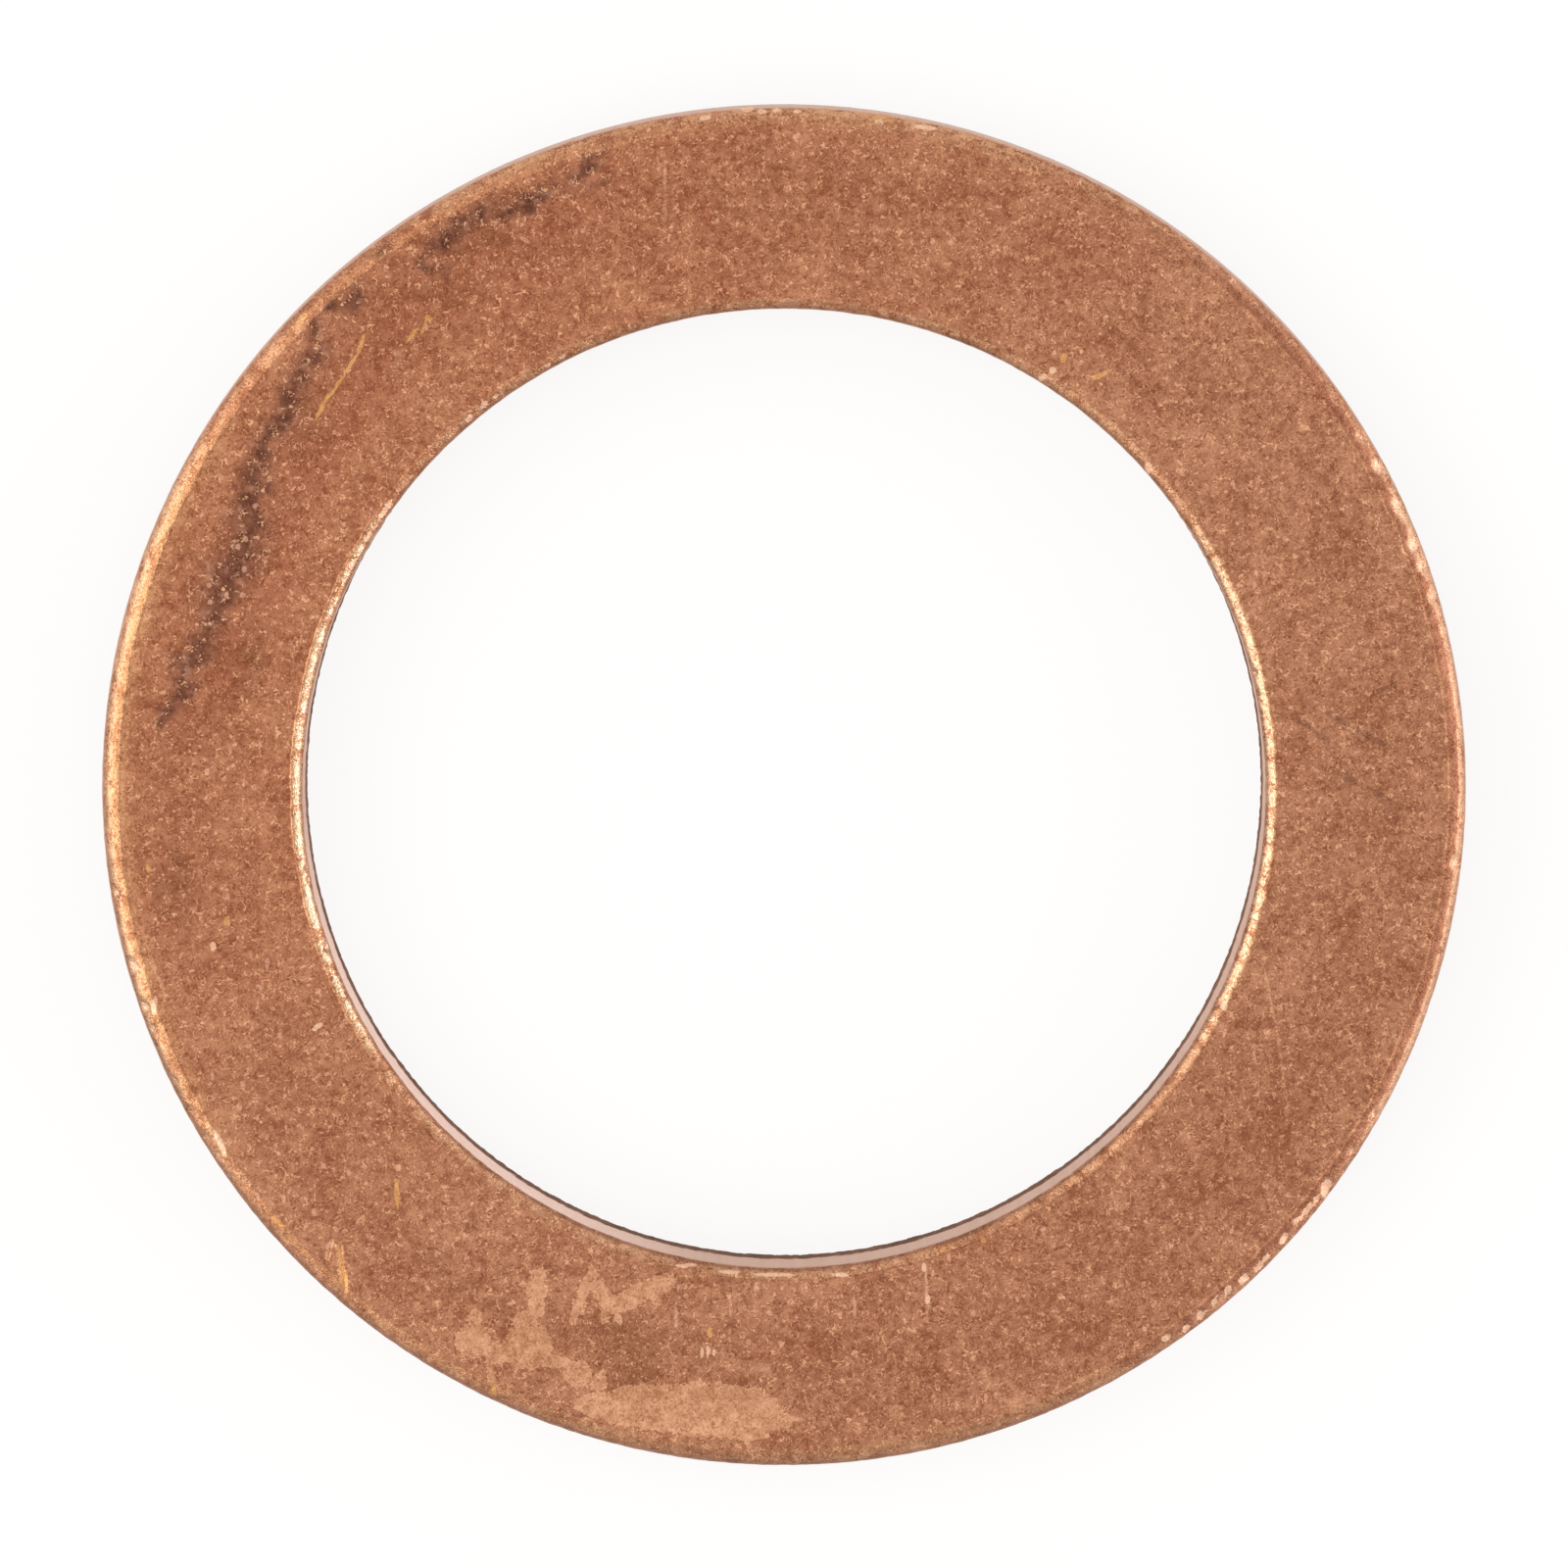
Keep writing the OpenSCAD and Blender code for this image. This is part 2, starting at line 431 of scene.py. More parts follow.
paleMarks = [
    (338, 1266, 333, 1275, 5), (332, 1280, 332, 1286, 4), (533, 244, 540, 249, 5),
    (436, 334, 436, 337, 5), (745, 1328, 745, 1345, 4), (689, 1333, 690, 1357, 4),
    (945, 1291, 947, 1351, 4), (872, 1323, 872, 1346, 4), (994, 1340, 994, 1344, 6),
    (797, 1372, 797, 1375, 6), (764, 1370, 764, 1373, 6), (785, 1340, 785, 1343, 6),
    (694, 1313, 694, 1316, 6), (699, 1322, 700, 1325, 6), (771, 1314, 771, 1317, 5),
    (348, 1145, 348, 1148, 6), (329, 1189, 329, 1192, 6), (355, 1196, 355, 1199, 5),
    (288, 1223, 288, 1226, 5), (319, 1237, 319, 1240, 5), (321, 1295, 321, 1298, 5),
    (262, 1220, 262, 1223, 5), (248, 1204, 248, 1207, 5), (272, 978, 272, 988, 5),
    (265, 1007, 265, 1010, 5), (349, 1045, 348, 1048, 5), (285, 1056, 285, 1059, 5),
    (216, 1098, 216, 1101, 5), (247, 1105, 247, 1108, 5), (243, 1128, 243, 1131, 5),
    (232, 913, 232, 916, 5), (214, 596, 214, 599, 6), (215, 613, 215, 616, 6), (248, 606, 248, 609, 6),
    (232, 606, 232, 609, 5), (261, 515, 261, 518, 6), (252, 549, 252, 552, 5), (244, 557, 244, 560, 5),
    (250, 580, 250, 583, 5), (732, 226, 732, 229, 5), (951, 246, 951, 249, 5), (1155, 454, 1156, 459, 6),
    (1211, 407, 1212, 411, 5), (1257, 492, 1257, 495, 5), (1238, 353, 1238, 356, 5),
    (1157, 215, 1157, 218, 5), (1264, 596, 1264, 599, 6), (1280, 596, 1280, 599, 5),
    (1065, 1254, 1065, 1257, 5),
]
darkMarks = [
    (1354, 729, 1378, 741, 7), (1378, 741, 1416, 762, 7), (1319, 732, 1340, 744, 6),
    (1340, 746, 1358, 757, 6), (1361, 787, 1392, 802, 8), (1392, 802, 1422, 819, 7),
    (1403, 706, 1427, 697, 6),
]
bareMarks = [
    (716, 1378, 716, 1386, 4), (722, 1376, 722, 1386, 4), (728, 1380, 728, 1384, 4),
    (320, 1050, 327, 1046, 6), (217, 963, 217, 968, 6), (943, 1292, 943, 1297, 5),
    (947, 1325, 947, 1330, 5), (1074, 377, 1073, 381, 7), (1065, 385, 1062, 388, 6),
    (1171, 475, 1172, 481, 7), (1248, 1022, 1250, 1029, 8), (851, 1302, 864, 1303, 5),
    (709, 1293, 690, 1293, 4), (734, 1299, 754, 1300, 4), (769, 1302, 812, 1303, 4),
    (1226, 1342, 1226, 1347, 7), (219, 1156, 228, 1179, 7), (157, 1020, 156, 1034, 7),
    (716, 123, 724, 123, 5), (758, 115, 767, 115, 5), (775, 117, 780, 117, 5), (790, 116, 795, 116, 4),
    (811, 117, 816, 117, 4), (935, 132, 954, 134, 5),
]

# Chips where a dent has laid the metal bare
chips = [
    (1356, 1208, 1354, 1219, 11), (1346, 1220, 1343, 1230, 7), (1339, 1232, 1331, 1243, 9),
    (1326, 1244, 1322, 1250, 6), (1313, 1262, 1309, 1270, 9), (1294, 1283, 1292, 1288, 6),
    (1289, 1291, 1284, 1298, 7), (1274, 1304, 1268, 1310, 9), (1256, 1316, 1253, 1322, 7),
    (1243, 1327, 1240, 1333, 6), (1228, 1343, 1225, 1347, 8), (1214, 1355, 1210, 1360, 6),
    (1193, 1366, 1189, 1370, 6), (496, 411, 491, 417, 6), (481, 425, 478, 430, 6),
    (507, 404, 504, 407, 4), (561, 373, 558, 376, 5), (577, 363, 574, 366, 5), (399, 512, 395, 518, 6),
    (392, 522, 389, 527, 6), (369, 557, 366, 563, 7), (362, 572, 358, 580, 7),
]

# Wide drifts of a lighter or a darker tone
lightDrifts = [
    (1230, 420, 1330, 560, 300), (200, 1000, 240, 1100, 160),
]
darkDrifts = [
    (1040, 1290, 1180, 1240, 300), (420, 300, 560, 220, 260), (700, 220, 800, 210, 200),
    (860, 1400, 960, 1390, 200), (1240, 1210, 1300, 1120, 240),
]

# A redder bloom along the inner side of the streak
blooms = [
    (620, 205, 470, 290, 70), (430, 270, 370, 400, 80), (340, 420, 300, 520, 80),
    (296, 540, 262, 640, 66), (256, 640, 214, 720, 46), (400, 330, 330, 470, 60),
    (560, 260, 500, 330, 50), (188, 700, 176, 760, 34),
]

# Marks are ellipses a little larger than the line from end to end
markReach = 0.6
wanderSeed = 1    # without it their borders would wander differently in each run


def markField(points, marks, wander=0.0, size=0.2):
    # How deep each point lies in the soft ellipses of the marks: 1 in the middle, 0 at the border
    pushed = points[:, :2].copy()
    if wander:
        pushes = [turbulence.noise_vector(Vector(point) / size) for point in points]
        pushed += wander * np.array(pushes)[:, :2]
    closest = np.full(len(points), 4.0)
    for startX, startY, endX, endY, width in marks:
        start, end = onFace(startX, startY), onFace(endX, endY)
        along = end - start
        halfWidth = markReach * width / view["pixels"][0]
        halfLength = markReach * along.length + halfWidth
        direction = along.normalized() if along.length > 0 else Vector((1, 0, 0))
        offset = pushed - np.array((start + end) / 2)[:2]
        lengthwise = (offset[:, 0] * direction.x + offset[:, 1] * direction.y) / halfLength
        crosswise = (offset[:, 1] * direction.x - offset[:, 0] * direction.y) / halfWidth
        closest = np.minimum(closest, lengthwise ** 2 + crosswise ** 2)
    return 1 - np.sqrt(closest)


def paintFields(piece, fields):
    # Each field of marks becomes an attribute of the upper face, -1 elsewhere
    places = np.empty(len(piece.data.vertices) * 3, np.float32)
    piece.data.vertices.foreach_get("co", places)
    places = places.reshape(-1, 3)
    upper = places[:, 2] > thickness - ring["upperZone"]
    turbulence.seed_set(wanderSeed)
    for label, (marks, wander) in fields.items():
        values = np.full(len(places), -1, np.float32)
        values[upper] = markField(places[upper], marks, wander)
        painted = piece.data.attributes.new(label, "FLOAT", "POINT")
        painted.data.foreach_set("value", values)


print("stage: marks")
paintFields(copperRing, {
    "smoke": (streak, 0.1),
    "soot": (sootSpots, 0.06),
    "smudge": (smudges, 0.12),
    "bloom": (blooms, 0.3),
    "rub": (rubMarks, 0.12),
    "chip": (chips, 0.02),
    "light": (lightDrifts, 0),
    "dark": (darkDrifts, 0),
})

copperRing.scale = (mm, mm, mm)
bpy.ops.object.transform_apply(location=True, rotation=True, scale=True)
bpy.ops.object.shade_smooth_by_angle(angle=math.radians(ring["smoothAngle"]))


# Materials
def paint(red, green, blue):
    # A colour as seen on screen, 0 to 255, as Blender's linear one
    def linear(level):
        share = level / 255
        return share / 12.92 if share <= 0.04045 else ((share + 0.055) / 1.055) ** 2.4
    return (linear(red), linear(green), linear(blue), 1)


def addNode(tree, kind, inputs=None, **settings):
    made = tree.nodes.new(kind)
    for key, value in settings.items():
        setattr(made, key, value)
    for key, value in (inputs or {}).items():
        if isinstance(value, bpy.types.NodeSocket):
            tree.links.new(value, made.inputs[key])
        else:
            made.inputs[key].default_value = value
    return made


def calc(tree, operation, *values, clamp=False):
    inputs = dict(enumerate(values))
    return addNode(tree, "ShaderNodeMath", inputs, operation=operation, use_clamp=clamp).outputs[0]


def product(tree, first, *others):
    for other in others:
        first = calc(tree, "MULTIPLY", first, other)
    return first


def vectorCalc(tree, operation, *values):
    made = addNode(tree, "ShaderNodeVectorMath", dict(enumerate(values)), operation=operation)
    return made.outputs["Value" if operation in ("DOT_PRODUCT", "LENGTH") else "Vector"]


def scaled(tree, vector, factor):
    made = addNode(tree, "ShaderNodeVectorMath", {0: vector, "Scale": factor}, operation="SCALE")
    return made.outputs[0]


def step(tree, value, low, high, toLow=0, toHigh=1):
    # A soft step from toLow to toHigh as the value goes from low to high
    inputs = {"Value": value, "From Min": low, "From Max": high, "To Min": toLow, "To Max": toHigh}
    made = addNode(tree, "ShaderNodeMapRange", inputs, interpolation_type="SMOOTHSTEP")
    return made.outputs["Result"]


def mixed(tree, share, first, second):
    return addNode(tree, "ShaderNodeMix", {0: share, 6: first, 7: second}, data_type="RGBA").outputs[2]


def noise(tree, vector, scale, detail=2, roughness=0.5, distortion=0):
    inputs = {"Vector": vector, "Scale": scale, "Detail": detail, "Roughness": roughness,
              "Distortion": distortion}
    return addNode(tree, "ShaderNodeTexNoise", inputs).outputs["Fac"]


def swing(tree, value, amount):
    # A noise of 0 to 1 as a swing about nought
    return calc(tree, "MULTIPLY", calc(tree, "SUBTRACT", value, 0.5), amount)


def added(tree, first, *others):
    for other in others:
        first = calc(tree, "ADD", first, other)
    return first


def largest(tree, values):
    top = values[0]
    for value in values[1:]:
        top = calc(tree, "MAXIMUM", top, value)
    return top


def blob(tree, place, startX, startY, endX, endY, width):
    # A soft ellipse from one photo pixel to another: its value is 0 in the middle and 1 at the border
    start, end = onFace(startX, startY), onFace(endX, endY)
    along = end - start
    halfWidth = markReach * width / view["pixels"][0]
    offset = vectorCalc(tree, "SUBTRACT", place, (start + end) / 2)
    if along.length < halfWidth:
        return product(tree, vectorCalc(tree, "DOT_PRODUCT", offset, offset), 1 / halfWidth ** 2)
    halfLength = markReach * along.length + halfWidth
    direction = along.normalized()
    crossing = Vector((-direction.y, direction.x, 0))
    lengthwise = vectorCalc(tree, "DOT_PRODUCT", offset, direction / halfLength)
    crosswise = vectorCalc(tree, "DOT_PRODUCT", offset, crossing / halfWidth)
    squared = product(tree, crosswise, crosswise)
    return calc(tree, "MULTIPLY_ADD", lengthwise, lengthwise, squared)


def blobs(tree, place, marks):
    # 1 in the middle of a mark, 0 from its border on
    closest = blob(tree, place, *marks[0])
    for mark in marks[1:]:
        closest = calc(tree, "MINIMUM", closest, blob(tree, place, *mark))
    return calc(tree, "SUBTRACT", 1, calc(tree, "SQRT", closest), clamp=True)


def warped(tree, flat, scale, amount, detail):
    # The place pushed about by a noise, so that a drawn border turns ragged
    texture = addNode(tree, "ShaderNodeTexNoise", {"Vector": flat, "Scale": scale, "Detail": detail})
    shift = vectorCalc(tree, "SUBTRACT", texture.outputs["Color"], (0.5, 0.5, 0.5))
    level = vectorCalc(tree, "MULTIPLY", shift, (amount, amount, 0))
    return vectorCalc(tree, "ADD", flat, level)


# Each colour is a pair, dark and light, that the grain of the metal mixes
copper = {
    "plain": (paint(145, 90, 64), paint(203, 147, 114)),
    "reddish": (paint(147, 84, 58), paint(202, 139, 104)),
    # Rubbed copper of the edges, also used for painted highlights on them
    "rubbedAndGlint": (paint(186, 129, 90), paint(226, 173, 128)),
    # Burnished copper, also used for painted highlights on the rolls
    "burnished": (paint(220, 180, 146), paint(246, 214, 184)),
    # Dark copper for the painted dark reflection where the rolls turn into the walls
    "shadeLine": (paint(112, 74, 54), paint(164, 114, 88)),
    "wall": (paint(182, 138, 116), paint(222, 184, 163)),
    # Light copper for the painted highlight on the bore wall
    "paintedSheen": (paint(232, 196, 178), paint(250, 218, 204)),
    # Dark torn metal, its darkness partly painted contact shade at the foot of the walls
    "torn": (paint(96, 67, 53), paint(144, 104, 83)),
    "bloom": (paint(142, 80, 56), paint(190, 124, 94)),
    # The smoke's halo, also used for the painted shade on the right outer roll
    "halo": (paint(126, 76, 56), paint(176, 118, 92)),
    "soot": (paint(87, 51, 43), paint(133, 86, 67)),
    "olive": (paint(130, 80, 54), paint(178, 120, 90)),
    "worn": (paint(178, 121, 86), paint(234, 181, 145)),
    "yellow": (paint(212, 152, 88), paint(240, 186, 122)),
    "pale": (paint(204, 150, 124), paint(236, 186, 160)),
    "bare": (paint(236, 184, 150), paint(252, 214, 186)),
    "grainBump": 0.004,      # in millimetres
    "edgeBump": 0.014,
    "faceRough": 0.52,
    "edgeRough": 0.26,
    "wallRough": 0.5,
    "tornRough": 0.8,
    "metallic": 0.95,
    "waist": 8.75,           # where the face is darkest, in millimetres from the axis
    "acrossDashes": 0.45,    # how fine the dashes of the edges are across and along them
    "alongDashes": 3.5,
}

# The noises of the metal, on millimetres
noises = {
    "fine": {"scale": 15, "detail": 1, "roughness": 0.5, "distortion": 2},
    "middle": {"scale": 6, "detail": 2},
    "broad": {"scale": 1.3, "detail": 3},
    "speckle": {"scale": 8, "detail": 3, "roughness": 0.7},
    "dashes": {"scale": 10, "detail": 3, "roughness": 0.65},
    "lines": {"scale": 7, "detail": 3, "roughness": 0.6},
}
warp = {"scale": 9, "amount": 0.06, "detail": 4}

# How strongly each noise swings the grain, and how much each cover hides at most
swings = {"fine": 1.85, "middle": 1.3, "broad": 0.95, "drift": 0.08, "darkTips": -0.15}
most = {"smudge": 0.7, "bloom": 0.7, "halo": 0.85, "soot": 0.88, "flecks": 0.2, "worn": 0.95, "rub": 0.5,
        "dark": 0.42, "faint": 0.6, "yellow": 0.7, "pale": 0.65, "rightEdgeShade": 0.8, "farSideGlint": 0.8, "shadeLine": 0.65,
        "paintedSheen": 0.8, "bare": 0.8}

# Directions on the ring that the tones, the painted highlights and the painted shade lean to, in degrees
leanings = {"reddish": 140, "lowerLeft": 222, "front": 270, "side": 0}


def painted(tree, label):
    made = addNode(tree, "ShaderNodeAttribute", attribute_name=label, attribute_type="GEOMETRY")
    return made.outputs["Fac"]


def makeRingPlace(tree):
    # Where a point lies on the ring, in millimetres, and how steep the metal is there
    coords = addNode(tree, "ShaderNodeTexCoord")
    point = scaled(tree, coords.outputs["Object"], 1 / mm)
    parts = addNode(tree, "ShaderNodeSeparateXYZ", {0: point})
    flat = vectorCalc(tree, "MULTIPLY", point, (1, 1, 0))
    radius = vectorCalc(tree, "LENGTH", flat)
    outward = vectorCalc(tree, "NORMALIZE", flat)
    # Stretched along the edge, for the dashes on it
    across = product(tree, calc(tree, "SUBTRACT", radius, parts.outputs["Z"]), copper["acrossDashes"])
    lifted = addNode(tree, "ShaderNodeCombineXYZ", {"Z": across}).outputs[0]
    rim = vectorCalc(tree, "ADD", scaled(tree, outward, copper["alongDashes"]), lifted)
    facing = addNode(tree, "ShaderNodeSeparateXYZ", {0: coords.outputs["Normal"]})
    slope = calc(tree, "SUBTRACT", 1, calc(tree, "ABSOLUTE", facing.outputs["Z"]))
    place = {"point": point, "flat": flat, "radius": radius, "height": parts.outputs["Z"], "rim": rim,
             "slope": slope}
    for name, angle in leanings.items():
        place[name] = vectorCalc(tree, "DOT_PRODUCT", outward, onRing(angle, 1))
    return place


def makeCopper():
    material = bpy.data.materials.new("agedCopper")
    material.use_nodes = True
    tree = material.node_tree
    tree.nodes.clear()
    place = makeRingPlace(tree)
    point, flat, slope, radius = place["point"], place["flat"], place["slope"], place["radius"]
    upper = step(tree, place["height"], thickness - ring["upperZone"], thickness - ring["outerRoll"])

    fine = noise(tree, point, **noises["fine"])
    middle = noise(tree, point, **noises["middle"])
    broad = noise(tree, point, **noises["broad"])
    wide = calc(tree, "SUBTRACT", largest(tree, [painted(tree, "light"), 0]),
                largest(tree, [painted(tree, "dark"), 0]))
    # A little darker halfway across the face
    fromWaist = calc(tree, "ABSOLUTE", calc(tree, "SUBTRACT", radius, copper["waist"]))
    waist = step(tree, fromWaist, 0.2, 0.95, -0.03, 0.05)
    grain = added(tree, 0.5, swing(tree, fine, swings["fine"]), swing(tree, middle, swings["middle"]),
                  swing(tree, broad, swings["broad"]), product(tree, wide, swings["drift"]), waist,
                  step(tree, fine, 0.42, 0.27, 0, swings["darkTips"]))

    def grained(name):
        return mixed(tree, grain, *copper[name])

    def cover(tone, share, name):
        return mixed(tree, share, tone, grained(name))

    speckle = noise(tree, point, **noises["speckle"])
    hue = added(tree, step(tree, place["reddish"], -0.2, 0.9, 0.1, 0.8), swing(tree, broad, -0.8),
                swing(tree, speckle, 1.2))
    tone = mixed(tree, hue, grained("plain"), grained("reddish"))

    # Smoke and soot, broken up by the grain
    smudge = added(tree, painted(tree, "smudge"), swing(tree, speckle, 0.8))
    tone = cover(tone, step(tree, smudge, 0.0, 0.6, 0, most["smudge"]), "olive")
    bloom = added(tree, painted(tree, "bloom"), swing(tree, broad, 1.2))
    tone = cover(tone, step(tree, bloom, -0.1, 0.9, 0, most["bloom"]), "bloom")
    smoke = painted(tree, "smoke")
    halo = added(tree, smoke, swing(tree, speckle, 1.2))
    tone = cover(tone, step(tree, halo, -0.6, 0.4, 0, most["halo"]), "halo")
    core = largest(tree, [product(tree, smoke, 0.75), painted(tree, "soot")])
    core = added(tree, core, swing(tree, speckle, 1.6), swing(tree, fine, 0.8))
    tone = cover(tone, step(tree, core, 0.1, 0.52, 0, most["soot"]), "soot")
    flecks = product(tree, step(tree, smoke, -0.1, 0.3), step(tree, middle, 0.54, 0.68), most["flecks"])
    tone = cover(tone, flecks, "pale")

    # Where the oxide is worn off
    close = warped(tree, flat, **warp)
    border = added(tree, blobs(tree, close, wornPatch), swing(tree, speckle, 0.5), swing(tree, fine, 0.3))
    tone = cover(tone, product(tree, step(tree, border, 0.04, 0.09), upper, most["worn"]), "worn")
    rubs = added(tree, painted(tree, "rub"), swing(tree, speckle, 1.0))
    tone = cover(tone, step(tree, rubs, 0.1, 0.6, 0, most["rub"]), "worn")

    # Fine scratches and specks: where they start and are full, how much they hide, and their tone
    for marks, start, full, share, name in (
            (darkMarks, 0.05, 0.5, most["dark"], "soot"),
            (faintMarks, 0.12, 0.4, most["faint"], "worn"),
            (yellowMarks, 0.12, 0.4, most["yellow"], "yellow"),
            (paleMarks, 0.12, 0.4, most["pale"], "pale")):
        mask = step(tree, blobs(tree, close, marks), start, full)
        tone = cover(tone, product(tree, mask, upper, share), name)

    # Rolled edges rubbed bright in dashes, with a painted highlight added at the two lit sides
    dashes = noise(tree, place["rim"], **noises["dashes"])
    sparkle = added(tree, swing(tree, dashes, 2.0), swing(tree, fine, 0.9), 0.5)
    # The left and right sides, where the softboxes reflect in the edges and painted highlights are added
    litSides = step(tree, calc(tree, "ABSOLUTE", place["side"]), 0.76, 0.96)
    inBore = step(tree, radius, boreRadius + 0.3, boreRadius + 0.25)
    # On the outer edge on the right, painted shade covers the upper part of the roll, and its burnish and
    # painted highlight sit only low on it
    onRight = product(tree, step(tree, place["side"], 0.3, 0.75), step(tree, inBore, 0, 1, 1, 0))
    rim = product(tree, step(tree, slope, 0.0003, 0.015), step(tree, slope, 0.5, 0.3),
                  step(tree, sparkle, 0.3, 0.6, 0.4, 1), step(tree, onRight, 0, 1, 1, 0.3))
    # Painted highlight along the outer edge at the two lit sides
    sideGlint = product(tree, step(tree, radius, outerRadius - 0.5, outerRadius - 0.25), litSides,
                     step(tree, sparkle, 0.3, 0.7, 0.2, 0.9), upper, step(tree, onRight, 0, 1, 1, 0))
    rubbedAndGlint = calc(tree, "MAXIMUM", product(tree, rim, step(tree, litSides, 0, 1, 0.3, 1)), sideGlint)
    tone = cover(tone, rubbedAndGlint, "rubbedAndGlint")
    # Painted shade on the upper part of the right outer roll
    rightEdgeShade = product(tree, onRight, step(tree, slope, 0.004, 0.04), step(tree, slope, 0.3, 0.16),
                    most["rightEdgeShade"])
    tone = cover(tone, rightEdgeShade, "halo")
    # At the far side the outer edge is rubbed and painted brighter as a highlight where the wall begins
    farSideGlint = product(tree, step(tree, place["front"], -0.75, -0.93),
                    step(tree, inBore, 0, 1, most["farSideGlint"], 0), step(tree, slope, 0.15, 0.35),
                    step(tree, slope, 0.85, 0.7), step(tree, sparkle, 0.42, 0.58))
    tone = cover(tone, farSideGlint, "rubbedAndGlint")
    # Burnished metal on the rolls, with painted highlights that are strongest at the two lit sides
    upperEnd = added(tree, step(tree, inBore, 0, 1, 0.08, 0.008), product(tree, onRight, 0.07))
    burnished = product(tree, step(tree, slope, upperEnd, calc(tree, "MULTIPLY_ADD", upperEnd, 1.6, 0.04)),
                        step(tree, slope, 0.7, 0.5), step(tree, inBore, 0, 1, 0.35, 0.95),
                        step(tree, added(tree, sparkle, product(tree, litSides, 0.12)), 0.4, 0.54),
                        step(tree, litSides, 0, 1, 0.2, 1))
    # Fine lines straight across the edges and down the walls, left by the die
    lines = noise(tree, flat, **noises["lines"])
    between = calc(tree, "ABSOLUTE", swing(tree, lines, 1.0))
    cracks = product(tree, step(tree, between, 0.035, 0.008), inBore, -0.8)
    burnished = calc(tree, "MULTIPLY_ADD", burnished, cracks, burnished)
    tone = cover(tone, burnished, "burnished")
    # Painted shade at the front of the outer edge: there the pale wall colour begins only further down the
    # roll
    frontShade = product(tree, step(tree, place["front"], 0.2, 0.9), step(tree, inBore, 0, 1, 1, 0))
    foot = step(tree, frontShade, 0, 1, 0.6, 0.82)
    wallStart = calc(tree, "ADD", foot, 0.15)
    # Painted dark reflection: a dark line on the steep part of the rolls, strongest in the bore and toward
    # the front
    shadeLine = product(tree, step(tree, slope, 0.2, 0.42), step(tree, slope, wallStart, foot),
                   largest(tree, [inBore, step(tree, place["front"], -0.5, 0.3, 0.1, 1)]), most["shadeLine"],
                   step(tree, onRight, 0, 1, 1, 0.1))
    tone = cover(tone, shadeLine, "shadeLine")

    # The walls, with the torn band at their foot, painted darker partly as contact shade
    onWall = step(tree, slope, foot, wallStart)
    drag = added(tree, 0.5, swing(tree, lines, 0.6), swing(tree, fine, 0.7))
    tone = mixed(tree, onWall, tone, mixed(tree, drag, *copper["wall"]))
    # Painted highlight: the bore wall toward the lower left is painted lighter
    paintedSheen = product(tree, onWall, inBore, step(tree, place["lowerLeft"], 0.75, 0.98), most["paintedSheen"])
    tone = cover(tone, paintedSheen, "paintedSheen")
    tearLine = added(tree, place["height"], swing(tree, dashes, 0.3))
    tearTop = ring["tearHeight"]
    torn = product(tree, step(tree, tearLine, tearTop + 0.05, tearTop - 0.05), onWall)
    tone = cover(tone, torn, "torn")

    # Dents, gouges and the brightest scratches show bare metal
    struck = calc(tree, "ADD", painted(tree, "pressed"), swing(tree, fine, 0.03))
    struck = step(tree, struck, 0.02, 0.034)
    chipped = added(tree, painted(tree, "chip"), swing(tree, speckle, 1.4), swing(tree, fine, 0.8))
    scratched = product(tree, step(tree, blobs(tree, close, bareMarks), 0.1, 0.35), upper)
    bare = largest(tree, [struck, step(tree, chipped, 0.15, 0.4), scratched])
    tone = cover(tone, product(tree, bare, most["bare"]), "bare")

    rubbing = product(tree, rim, step(tree, litSides, 0, 1, 0.45, 1))
    rough = step(tree, rubbing, 0, 1, copper["faceRough"], copper["edgeRough"])
    rough = added(tree, rough, product(tree, onWall, copper["wallRough"] - copper["faceRough"]),
                  product(tree, torn, copper["tornRough"] - copper["wallRough"]), swing(tree, fine, 0.2))

    onEdge = step(tree, slope, 0.0003, 0.015)
    ridges = added(tree, dashes, product(tree, fine, 0.6))
    edgeHeight = product(tree, ridges, onEdge, copper["edgeBump"] * mm)
    grainHeight = product(tree, fine, copper["grainBump"] * mm)
    bump = addNode(tree, "ShaderNodeBump", {"Height": calc(tree, "ADD", grainHeight, edgeHeight),
                                            "Distance": 1.0, "Strength": 1.0})

    shader = addNode(tree, "ShaderNodeBsdfPrincipled",
                     {"Base Color": tone, "Roughness": rough, "Metallic": copper["metallic"],
                      "Normal": bump.outputs["Normal"]})
    addNode(tree, "ShaderNodeOutputMaterial", {"Surface": shader.outputs["BSDF"]})
    return material


print("stage: copper")
copperRing.data.materials.append(makeCopper())
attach(copperRing, "root")
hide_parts("sealing_ring")


# Floor, lamps, world and camera
floor = {"size": 3, "colour": paint(252, 251, 250), "glow": 0.85, "drop": 0.01 * mm}


def makeFloor():
    deselectAll()
    bpy.ops.mesh.primitive_plane_add(size=floor["size"], location=(0, 0, -floor["drop"]))
    table = bpy.context.object
    table.name = "floor"
    material = bpy.data.materials.new("paleTable")
    material.use_nodes = True
    tree = material.node_tree
    tree.nodes.clear()
    matte = addNode(tree, "ShaderNodeBsdfPrincipled", {"Base Color": floor["colour"], "Roughness": 0.9})
    white = addNode(tree, "ShaderNodeEmission", {"Color": (1, 1, 1, 1), "Strength": 1.0})
    path = addNode(tree, "ShaderNodeLightPath")
    rays = ("Is Camera Ray", "Is Glossy Ray", "Is Transmission Ray")
    seen = largest(tree, [path.outputs[ray] for ray in rays])
    share = calc(tree, "MULTIPLY", seen, floor["glow"])
    both = addNode(tree, "ShaderNodeMixShader",
                   {0: share, 1: matte.outputs["BSDF"], 2: white.outputs["Emission"]})
    addNode(tree, "ShaderNodeOutputMaterial", {"Surface": both.outputs["Shader"]})
    table.data.materials.append(material)


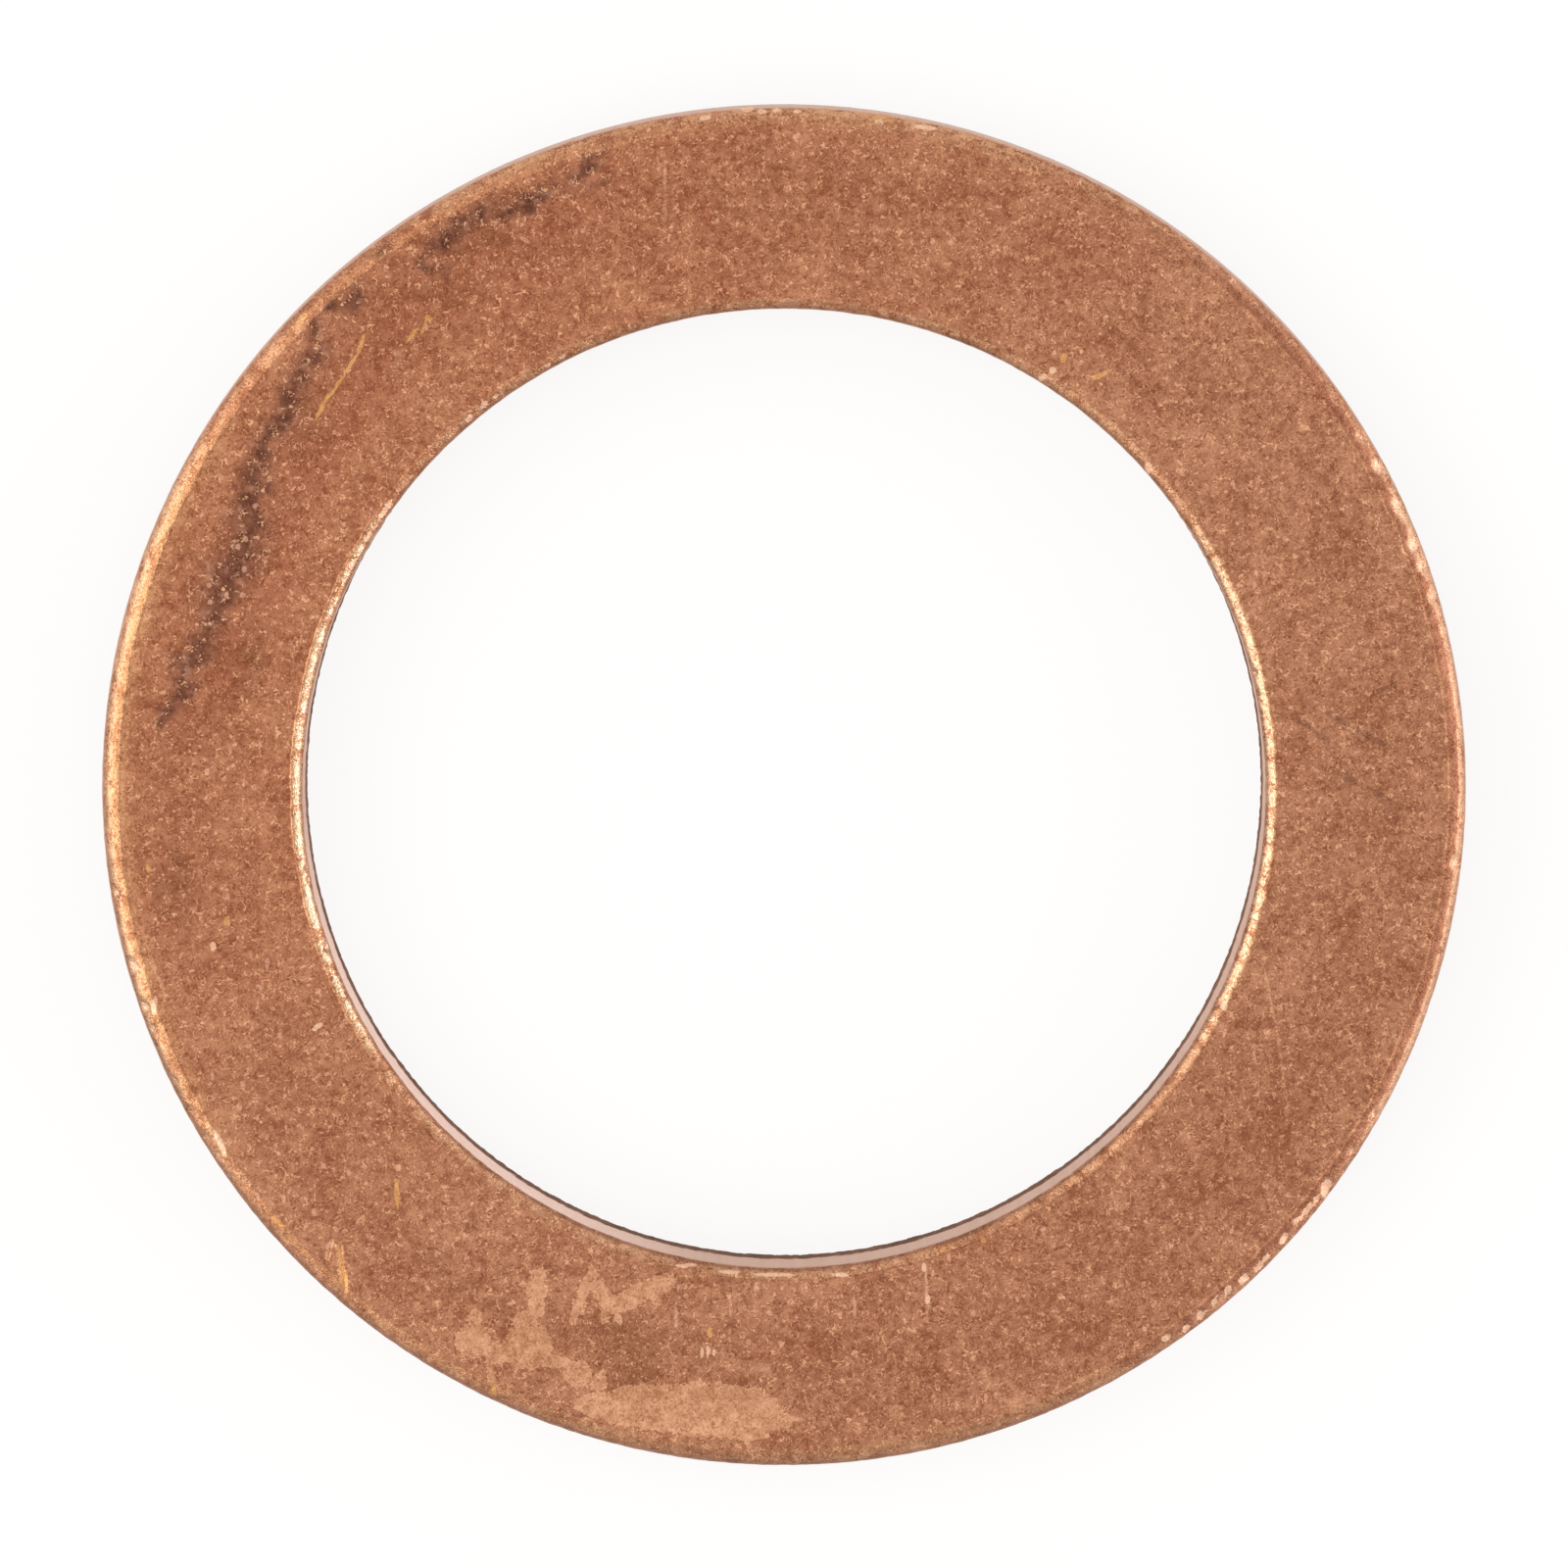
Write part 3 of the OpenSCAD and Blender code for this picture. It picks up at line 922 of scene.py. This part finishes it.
# Softboxes to the left and the right: direction, elevation, width, height, brightness, colour
softboxes = {
    "leftSoftbox": {"side": 182, "up": 36, "width": 1.15, "height": 1.05, "level": 1.65,
                    "colour": (1.0, 0.93, 0.82)},
    "rightSoftbox": {"side": 355, "up": 17, "width": 1.1, "height": 0.5, "level": 2.9,
                     "colour": (1.0, 0.97, 0.95)},
}
softboxDistance = 0.9


def addSoftbox(name, side, up, width, height, level, colour):
    turn, lift = math.radians(side), math.radians(up)
    away = Vector((math.cos(turn) * math.cos(lift), math.sin(turn) * math.cos(lift), math.sin(lift)))
    bpy.ops.object.light_add(type="AREA", location=away * softboxDistance)
    lamp = bpy.context.object
    lamp.name = name
    lamp.rotation_euler = away.to_track_quat("Z", "Y").to_euler()
    lamp.data.shape = "RECTANGLE"
    lamp.data.size, lamp.data.size_y = width, height
    lamp.data.energy = level * math.pi * width * height
    lamp.data.color = colour
    lamp.visible_camera = False


# Brightness at the front and back horizon and overhead
sky = {"front": 0.44, "back": 1.0, "overhead": 0.73, "colour": (1, 0.98, 0.96, 1)}


def makeWorld():
    # Darker toward the horizon, and most of all in front
    world = bpy.data.worlds.new("studio")
    bpy.context.scene.world = world
    world.use_nodes = True
    tree = world.node_tree
    tree.nodes.clear()
    coords = addNode(tree, "ShaderNodeTexCoord")
    parts = addNode(tree, "ShaderNodeSeparateXYZ", {0: coords.outputs["Generated"]})
    horizon = step(tree, parts.outputs["Y"], -0.6, 0.7, sky["front"], sky["back"])
    level = step(tree, parts.outputs["Z"], 0.02, 0.85, horizon, sky["overhead"])
    glow = addNode(tree, "ShaderNodeBackground", {"Color": sky["colour"], "Strength": level})
    addNode(tree, "ShaderNodeOutputWorld", {"Surface": glow.outputs["Background"]})


def addCamera():
    lens = bpy.data.cameras.new("camera")
    camera = bpy.data.objects.new("camera", lens)
    bpy.context.scene.collection.objects.link(camera)
    lens.sensor_width = view["sensor"]
    lens.lens = view["sensor"] * view["distance"] / view["frame"]
    lens.clip_start = view["clip"]
    target = Vector((*view["aim"], thickness)) * mm
    lean = math.radians(view["tilt"])
    back = onRing(view["towards"], math.sin(lean), math.cos(lean))
    across = Vector((0, 1, 0)).cross(back).normalized()
    upward = back.cross(across)
    camera.location = target + back * view["distance"] * mm
    camera.rotation_euler = Matrix((across, upward, back)).transposed().to_euler()
    bpy.context.scene.camera = camera


print("stage: floor, lamps and camera")
makeFloor()
for name, lamp in softboxes.items():
    addSoftbox(name, **lamp)
makeWorld()
addCamera()
bpy.context.scene.view_settings.view_transform = "Standard"
